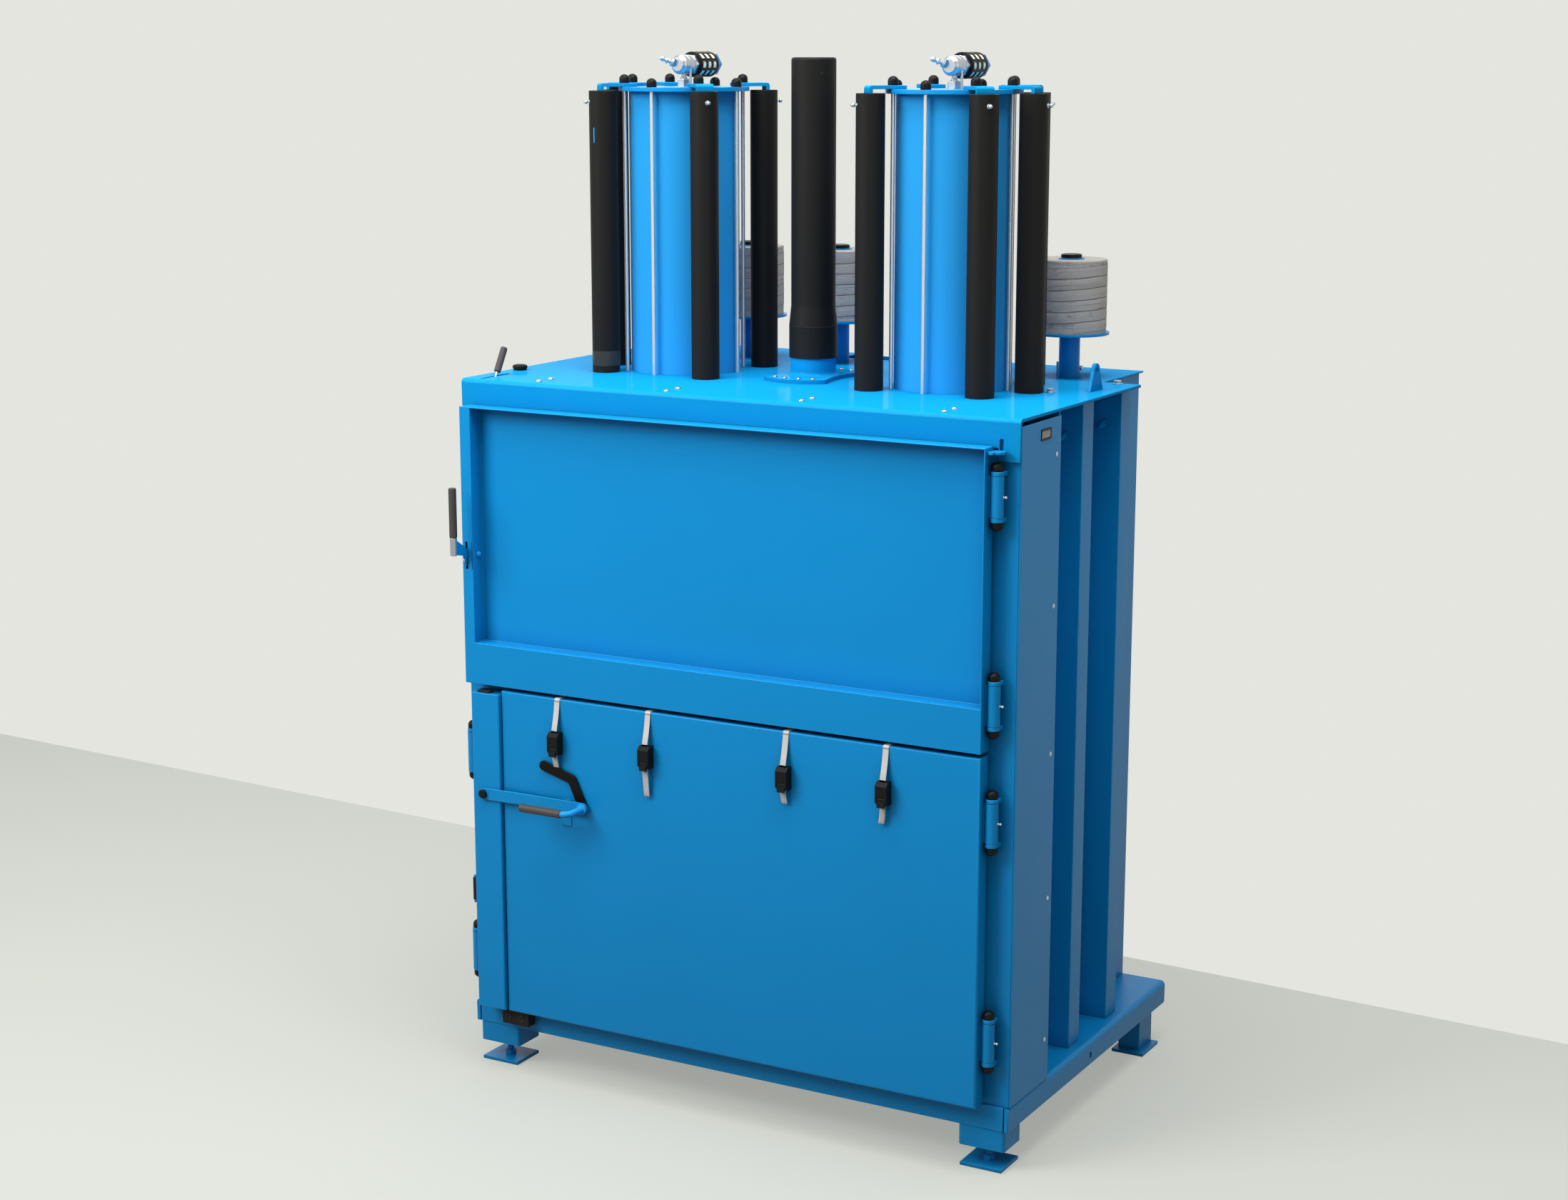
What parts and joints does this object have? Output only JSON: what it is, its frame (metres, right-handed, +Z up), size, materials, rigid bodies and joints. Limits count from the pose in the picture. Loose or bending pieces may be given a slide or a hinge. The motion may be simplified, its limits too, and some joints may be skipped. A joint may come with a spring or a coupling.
{
  "type": "recycling baler",
  "caption": "Pneumatic recycling baler in sky-blue sheet steel with a loading door, a bale door, press cylinders, spring tubes and strap reels on the hood",
  "frame": {"origin": "on the floor, under the middle of the machine, handles included", "axes": "+X to the machine's right as seen from the front, +Y from the front into the machine, +Z up"},
  "size_m": [1.4105, 1.0448, 2.377],
  "materials": {
    "blue_paint": "satin sky-blue powder coat",
    "zinc_steel": "zinc-plated steel",
    "bright_rod": "hard-chromed rod",
    "chrome_plate": "polished plating",
    "black_plastic": "satin black",
    "black_rubber": "soft black grip",
    "pale_felt": "pressed felt",
    "blue_anodised": "anodised",
    "white_strap": "woven polyester strap"
  },
  "bodies": {
    "frame": {"base_frame": "blue_paint", "leg_blocks": "blue_paint", "foot_plates": "blue_paint", "foot_spindles": "blue_paint", "hood": "blue_paint", "rear_deck": "blue_paint", "chamber_walls": "blue_paint", "front_posts": "blue_paint", "side_ribs": "blue_paint", "side_covers": "blue_paint", "hour_counter": "black_plastic", "hinge_ears": "blue_paint", "hinge_pins": "zinc_steel", "hinge_caps": "black_plastic", "locking_strip": "blue_paint", "rest_block": "black_rubber", "stop_pad": "black_rubber", "cylinder_barrels": "blue_paint", "cylinder_heads": "blue_paint", "head_lugs": "blue_paint", "tie_rods": "zinc_steel", "cap_nuts": "black_plastic", "spring_tubes": "black_plastic", "tube_pins": "zinc_steel", "air_tees": "chrome_plate", "silencer_bodies": "black_plastic", "silencer_felts": "pale_felt", "silencer_caps": "blue_anodised", "guide_flange": "blue_paint", "guide_sleeve": "black_plastic", "reel_posts": "blue_paint", "reel_caps": "black_plastic", "valve_block": "zinc_steel", "lifting_lugs": "blue_paint", "hood_bolts": "zinc_steel"},
    "upper_door": {"upper_door": "blue_paint"},
    "latch": {"latch_lever": "blue_paint", "latch_grip": "black_rubber"},
    "lower_door": {"lower_door": "blue_paint", "door_straps": "white_strap", "clamp_bodies": "black_plastic", "lock_bar": "blue_paint"},
    "lock": {"lock_arm": "black_plastic", "lock_handle": "blue_paint", "lock_grip": "black_rubber", "lock_shaft": "zinc_steel"},
    "press": {"platen": "blue_paint", "press_rods": "bright_rod"},
    "valve_knob": {"valve_knob": "black_plastic"},
    "control_lever": {"lever_stem": "zinc_steel", "lever_grip": "black_rubber"},
    "push_button": {"push_button": "black_plastic"},
    "clamp_1": {"clamp_lever_1": "black_plastic"},
    "reel_1": {"strap_reel_1": "white_strap"},
    "clamp_2": {"clamp_lever_2": "black_plastic"},
    "reel_2": {"strap_reel_2": "white_strap"},
    "clamp_3": {"clamp_lever_3": "black_plastic"},
    "reel_3": {"strap_reel_3": "white_strap"},
    "clamp_4": {"clamp_lever_4": "black_plastic"},
    "reel_4": {"strap_reel_4": "white_strap"}
  },
  "joints": [
    {"name": "upper_door_hinge", "type": "hinge", "parent": "frame", "child": "upper_door", "pos_m": [0.658, -0.41563, 1.2655], "axis": [0, 0, 1], "range_deg": [0, 110]},
    {"name": "latch_pivot", "type": "hinge", "parent": "upper_door", "child": "latch", "pos_m": [-0.6645, -0.42562, 1.245], "axis": [1, 0, 0], "range_deg": [0, 35]},
    {"name": "lower_door_hinge", "type": "hinge", "parent": "frame", "child": "lower_door", "pos_m": [0.658, -0.41563, 0.547], "axis": [0, 0, 1], "range_deg": [0, 110]},
    {"name": "lock_handle_pivot", "type": "hinge", "parent": "lower_door", "child": "lock", "pos_m": [-0.35, -0.45262, 0.686], "axis": [0, 1, 0], "range_deg": [-90, 0]},
    {"name": "press_stroke", "type": "slide", "parent": "frame", "child": "press", "axis": [0, 0, -1], "range_m": [0, 0.56], "stiffness_N_per_m": 8000, "springref_m": -0.3},
    {"name": "valve_knob_turn", "type": "hinge", "parent": "frame", "child": "valve_knob", "pos_m": [0.452, 0.40237, 1.678], "axis": [0, 0, 1], "range_deg": [-90, 90]},
    {"name": "control_lever_pivot", "type": "hinge", "parent": "frame", "child": "control_lever", "pos_m": [-0.6545, -0.34063, 1.62], "axis": [1, 0, 0], "range_deg": [0, 50]},
    {"name": "push_button_travel", "type": "slide", "parent": "frame", "child": "push_button", "axis": [0, 0, -1], "range_m": [0, 0.004], "stiffness_N_per_m": 600, "springref_m": -0.002},
    {"name": "clamp_lever_1_pivot", "type": "hinge", "parent": "lower_door", "child": "clamp_1", "pos_m": [-0.421, -0.46263, 0.82], "axis": [-1, 0, 0], "range_deg": [0, 70], "stiffness_Nm_per_rad": 0.02, "springref_deg": -17.19},
    {"name": "clamp_lever_2_pivot", "type": "hinge", "parent": "lower_door", "child": "clamp_2", "pos_m": [-0.177, -0.46263, 0.82], "axis": [-1, 0, 0], "range_deg": [0, 70], "stiffness_Nm_per_rad": 0.02, "springref_deg": -17.19},
    {"name": "clamp_lever_3_pivot", "type": "hinge", "parent": "lower_door", "child": "clamp_3", "pos_m": [0.177, -0.46263, 0.82], "axis": [-1, 0, 0], "range_deg": [0, 70], "stiffness_Nm_per_rad": 0.02, "springref_deg": -17.19},
    {"name": "clamp_lever_4_pivot", "type": "hinge", "parent": "lower_door", "child": "clamp_4", "pos_m": [0.421, -0.46263, 0.82], "axis": [-1, 0, 0], "range_deg": [0, 70], "stiffness_Nm_per_rad": 0.02, "springref_deg": -17.19},
    {"name": "reel_1_spindle", "type": "hinge", "parent": "frame", "child": "reel_1", "pos_m": [-0.353, 0.32338, 1.832], "axis": [0, 0, 1], "continuous": true},
    {"name": "reel_2_spindle", "type": "hinge", "parent": "frame", "child": "reel_2", "pos_m": [-0.105, 0.32338, 1.832], "axis": [0, 0, 1], "continuous": true},
    {"name": "reel_3_spindle", "type": "hinge", "parent": "frame", "child": "reel_3", "pos_m": [0.247, 0.32338, 1.832], "axis": [0, 0, 1], "continuous": true},
    {"name": "reel_4_spindle", "type": "hinge", "parent": "frame", "child": "reel_4", "pos_m": [0.495, 0.32338, 1.832], "axis": [0, 0, 1], "continuous": true}
  ]
}
